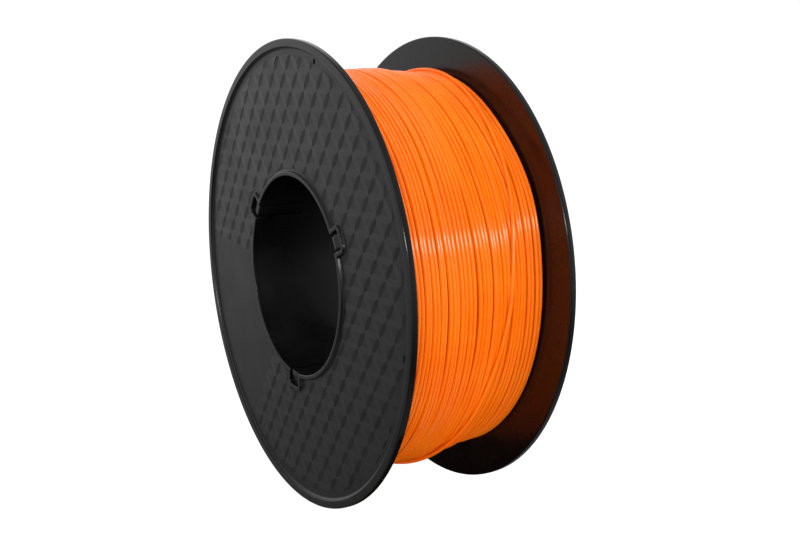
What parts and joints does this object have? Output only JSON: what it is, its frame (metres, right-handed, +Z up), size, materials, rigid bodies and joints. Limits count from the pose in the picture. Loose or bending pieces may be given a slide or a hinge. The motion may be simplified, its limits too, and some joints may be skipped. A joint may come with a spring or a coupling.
{
  "type": "filament spool",
  "caption": "Round plastic spool with wide flanges, an open bore with snap latches, and orange filament wound between the flanges.",
  "frame": {"origin": "middle of the bore, halfway between the two flanges", "axes": "Y along the spool's axis with the front flange towards -Y, +Z up as the spool stands on its rims"},
  "size_m": [0.2, 0.074, 0.2],
  "materials": {
    "flange_plastic": "satin black moulded styrene with a glossy inner side",
    "core_plastic": "smooth black moulded styrene",
    "filament": "glossy orange extruded plastic"
  },
  "bodies": {
    "spool": {"front_flange": "flange_plastic", "rear_flange": "flange_plastic", "barrel": "core_plastic", "bore_tube": "core_plastic", "core_rib_1": "core_plastic", "core_rib_2": "core_plastic", "core_rib_3": "core_plastic", "core_rib_4": "core_plastic", "core_rib_5": "core_plastic", "core_rib_6": "core_plastic", "core_rib_7": "core_plastic", "core_rib_8": "core_plastic", "core_rib_9": "core_plastic", "winding": "filament", "filament_end": "filament"},
    "front_latch_1": {"front_latch_1": "core_plastic"},
    "front_latch_2": {"front_latch_2": "core_plastic"},
    "front_latch_3": {"front_latch_3": "core_plastic"},
    "rear_latch_1": {"rear_latch_1": "core_plastic"},
    "rear_latch_2": {"rear_latch_2": "core_plastic"},
    "rear_latch_3": {"rear_latch_3": "core_plastic"}
  },
  "joints": [
    {"name": "front_latch_1_flex", "type": "hinge", "parent": "spool", "child": "front_latch_1", "pos_m": [0.03802, -0.0146, 0.02195], "axis": [0.5, 0, -0.866], "range_deg": [0, 5], "stiffness_Nm_per_rad": 1.5},
    {"name": "front_latch_2_flex", "type": "hinge", "parent": "spool", "child": "front_latch_2", "pos_m": [-0.03802, -0.0146, 0.02195], "axis": [0.5, 0, 0.866], "range_deg": [0, 5], "stiffness_Nm_per_rad": 1.5},
    {"name": "front_latch_3_flex", "type": "hinge", "parent": "spool", "child": "front_latch_3", "pos_m": [0, -0.0146, -0.0439], "axis": [-1, 0, 0], "range_deg": [0, 5], "stiffness_Nm_per_rad": 1.5},
    {"name": "rear_latch_1_flex", "type": "hinge", "parent": "spool", "child": "rear_latch_1", "pos_m": [0.03802, 0.0146, 0.02195], "axis": [-0.5, 0, 0.866], "range_deg": [0, 5], "stiffness_Nm_per_rad": 1.5},
    {"name": "rear_latch_2_flex", "type": "hinge", "parent": "spool", "child": "rear_latch_2", "pos_m": [-0.03802, 0.0146, 0.02195], "axis": [-0.5, 0, -0.866], "range_deg": [0, 5], "stiffness_Nm_per_rad": 1.5},
    {"name": "rear_latch_3_flex", "type": "hinge", "parent": "spool", "child": "rear_latch_3", "pos_m": [0, 0.0146, -0.0439], "axis": [1, 0, 0], "range_deg": [0, 5], "stiffness_Nm_per_rad": 1.5}
  ]
}
